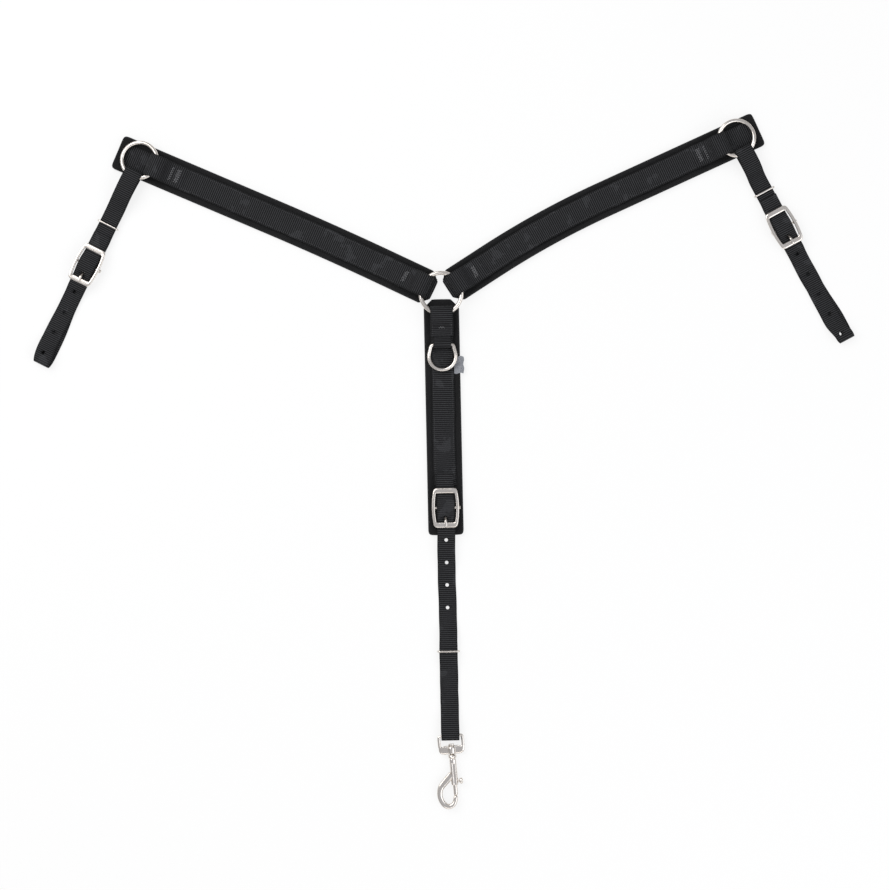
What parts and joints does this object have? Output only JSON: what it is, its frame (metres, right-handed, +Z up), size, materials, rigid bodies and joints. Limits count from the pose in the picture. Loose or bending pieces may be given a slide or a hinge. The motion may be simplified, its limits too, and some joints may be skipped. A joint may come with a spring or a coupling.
{
  "type": "martingale",
  "caption": "Breast-collar martingale: three padded webbing arms joined at a ring, buckled side tugs and a buckled tie-down strap with a swivel bolt snap.",
  "frame": {"origin": "on the ground under the middle of the bounding box of the collar as it lies flat", "axes": "+X to the right across the two arms, +Y towards the outer ends of the arms, +Z up from the ground; the tie-down strap runs towards -Y"},
  "size_m": [1.1607, 0.9811, 0.0268],
  "materials": {
    "pad_fabric": "smooth dark charcoal felt-backed nylon, low sheen",
    "webbing": "black ribbed nylon webbing, slight sheen on the ribs",
    "hardware": "bright polished nickel plate",
    "label_fabric": "plain pale woven tape",
    "spring_steel": "plain spring wire"
  },
  "bodies": {
    "chest": {"chest_pad": "pad_fabric", "chest_webbing": "webbing", "dee_tab": "webbing", "label_tab": "label_fabric", "chest_buckle_tab": "webbing", "tie_down_billet": "webbing"},
    "centre_ring": {"centre_ring": "hardware"},
    "dee_ring": {"dee_ring": "hardware"},
    "chest_buckle": {"chest_buckle_frame": "hardware", "chest_buckle_bar": "hardware"},
    "chest_tongue": {"chest_buckle_tongue": "hardware"},
    "tie_down_strap": {"tie_down_strap": "webbing"},
    "tie_down_keeper": {"tie_down_keeper": "hardware"},
    "snap_eye": {"snap_eye": "hardware"},
    "snap_body": {"snap_body": "hardware", "snap_spring": "spring_steel"},
    "snap_bolt": {"snap_bolt": "hardware"},
    "left_arm": {"left_arm_pad": "pad_fabric", "left_arm_base_webbing": "webbing", "left_arm_webbing": "webbing"},
    "left_outer_ring": {"left_outer_ring": "hardware"},
    "left_tug": {"left_tug_strap": "webbing"},
    "left_tug_buckle": {"left_tug_buckle_frame": "hardware", "left_tug_buckle_bar": "hardware"},
    "left_tug_tongue": {"left_tug_buckle_tongue": "hardware"},
    "left_tug_keeper": {"left_tug_keeper": "hardware"},
    "right_arm": {"right_arm_pad": "pad_fabric", "right_arm_base_webbing": "webbing", "right_arm_webbing": "webbing"},
    "right_outer_ring": {"right_outer_ring": "hardware"},
    "right_tug": {"right_tug_strap": "webbing"},
    "right_tug_buckle": {"right_tug_buckle_frame": "hardware", "right_tug_buckle_bar": "hardware"},
    "right_tug_tongue": {"right_tug_buckle_tongue": "hardware"},
    "right_tug_keeper": {"right_tug_keeper": "hardware"}
  },
  "joints": [
    {"name": "centre_ring_lift", "type": "hinge", "parent": "chest", "child": "centre_ring", "pos_m": [0.0002, 0.20746, 0.0144], "axis": [0.9998, 0.0209, 0], "range_deg": [0, 60]},
    {"name": "dee_ring_flip", "type": "hinge", "parent": "chest", "child": "dee_ring", "pos_m": [0.00112, 0.16362, 0.0138], "axis": [-0.9998, -0.0209, 0], "range_deg": [0, 120]},
    {"name": "chest_buckle_tilt", "type": "hinge", "parent": "chest", "child": "chest_buckle", "pos_m": [0.00592, -0.06573, 0.0113], "axis": [-0.9998, -0.0209, 0], "range_deg": [-1.5, 1.5]},
    {"name": "chest_tongue_lift", "type": "hinge", "parent": "chest_buckle", "child": "chest_tongue", "pos_m": [0.00592, -0.06573, 0.0113], "axis": [-0.9998, -0.0209, 0], "range_deg": [0, 3]},
    {"name": "tie_down_fold", "type": "hinge", "parent": "chest", "child": "tie_down_strap", "pos_m": [0.00701, -0.11772, 0.0093], "axis": [-0.9998, -0.0209, 0], "range_deg": [0, 90]},
    {"name": "tie_down_keeper_slide", "type": "slide", "parent": "tie_down_strap", "child": "tie_down_keeper", "axis": [0.0209, -0.9998, 0], "range_m": [-0.008, 0.008]},
    {"name": "snap_eye_swing", "type": "hinge", "parent": "tie_down_strap", "child": "snap_eye", "pos_m": [0.01267, -0.38766, 0.0064], "axis": [-0.9954, -0.0958, 0], "range_deg": [-90, 90]},
    {"name": "snap_swivel", "type": "hinge", "parent": "snap_eye", "child": "snap_body", "pos_m": [0.01459, -0.40757, 0.0064], "axis": [0.0958, -0.9954, 0], "continuous": true},
    {"name": "snap_bolt_pull", "type": "slide", "parent": "snap_body", "child": "snap_bolt", "axis": [-0.0958, 0.9954, 0], "range_m": [0, 0.011], "stiffness_N_per_m": 400, "springref_m": -0.004, "deforming": ["snap_spring"]},
    {"name": "left_arm_lift", "type": "hinge", "parent": "centre_ring", "child": "left_arm", "pos_m": [-0.02641, 0.24844, 0.0144], "axis": [0.4258, 0.9048, 0], "range_deg": [0, 70]},
    {"name": "left_outer_ring_lift", "type": "hinge", "parent": "left_arm", "child": "left_outer_ring", "pos_m": [-0.40215, 0.41403, 0.0144], "axis": [0.3907, 0.9205, 0], "range_deg": [0, 60]},
    {"name": "left_tug_swing", "type": "hinge", "parent": "left_outer_ring", "child": "left_tug", "pos_m": [-0.42479, 0.42364, 0.0144], "axis": [0, 0, 1], "range_deg": [-80, 1]},
    {"name": "left_tug_buckle_tilt", "type": "hinge", "parent": "left_tug", "child": "left_tug_buckle", "pos_m": [-0.49919, 0.27637, 0.0074], "axis": [-0.8926, 0.4509, 0], "range_deg": [-1.5, 1.5]},
    {"name": "left_tug_tongue_lift", "type": "hinge", "parent": "left_tug_buckle", "child": "left_tug_tongue", "pos_m": [-0.49919, 0.27637, 0.0074], "axis": [-0.8926, 0.4509, 0], "range_deg": [0, 3]},
    {"name": "left_tug_keeper_slide", "type": "slide", "parent": "left_tug", "child": "left_tug_keeper", "axis": [-0.4509, -0.8926, 0], "range_m": [-0.008, 0.008]},
    {"name": "right_arm_lift", "type": "hinge", "parent": "centre_ring", "child": "right_arm", "pos_m": [0.02371, 0.25186, 0.0144], "axis": [0.5446, -0.8387, 0], "range_deg": [0, 70]},
    {"name": "right_outer_ring_lift", "type": "hinge", "parent": "right_arm", "child": "right_outer_ring", "pos_m": [0.39342, 0.44465, 0.0144], "axis": [0.4163, -0.9092, 0], "range_deg": [0, 60]},
    {"name": "right_tug_swing", "type": "hinge", "parent": "right_outer_ring", "child": "right_tug", "pos_m": [0.41578, 0.45489, 0.0144], "axis": [0, 0, 1], "range_deg": [-1, 80]},
    {"name": "right_tug_buckle_tilt", "type": "hinge", "parent": "right_tug", "child": "right_tug_buckle", "pos_m": [0.48307, 0.32939, 0.0074], "axis": [-0.8813, -0.4726, 0], "range_deg": [-1.5, 1.5]},
    {"name": "right_tug_tongue_lift", "type": "hinge", "parent": "right_tug_buckle", "child": "right_tug_tongue", "pos_m": [0.48307, 0.32939, 0.0074], "axis": [-0.8813, -0.4726, 0], "range_deg": [0, 3]},
    {"name": "right_tug_keeper_slide", "type": "slide", "parent": "right_tug", "child": "right_tug_keeper", "axis": [0.4726, -0.8813, 0], "range_m": [-0.008, 0.006]}
  ]
}
